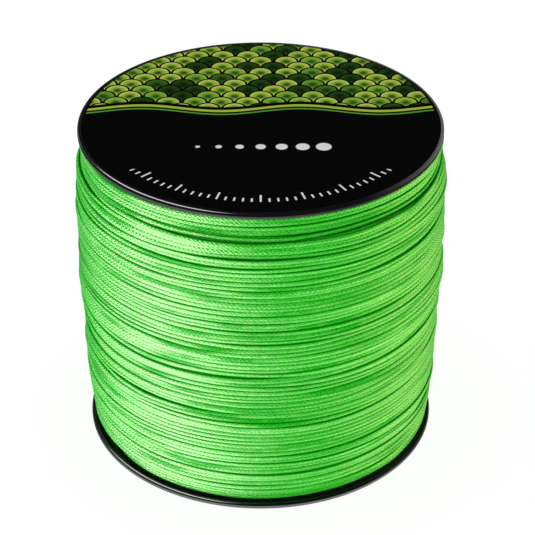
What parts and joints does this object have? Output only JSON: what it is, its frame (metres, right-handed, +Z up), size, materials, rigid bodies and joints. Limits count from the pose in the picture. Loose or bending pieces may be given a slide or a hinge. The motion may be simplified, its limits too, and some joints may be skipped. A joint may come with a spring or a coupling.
{
  "type": "fishing line spool",
  "caption": "Squat drum spool with thin gloss black flanges and a printed round top label, wound full of bright green braided fishing line.",
  "frame": {"origin": "on the spool's axis, in the plane that the spool stands on", "axes": "+Z up along the spool's axis, from the bottom flange to the labelled top flange; the picture looks along +Y from in front and above, with +X to its right"},
  "size_m": [0.0786, 0.0786, 0.0721],
  "materials": {
    "flange_plastic": "gloss",
    "drum_plastic": "satin",
    "label_print": "gloss",
    "tape": "matte",
    "braided_line": "satin"
  },
  "bodies": {
    "root": {"bottom_flange": "flange_plastic", "top_flange": "flange_plastic", "drum": "drum_plastic", "spindle_tube": "drum_plastic", "top_label": "label_print", "bottom_label": "label_print", "start_tape": "tape", "line_pack": "braided_line", "line_outer_layer": "braided_line"}
  },
  "joints": []
}
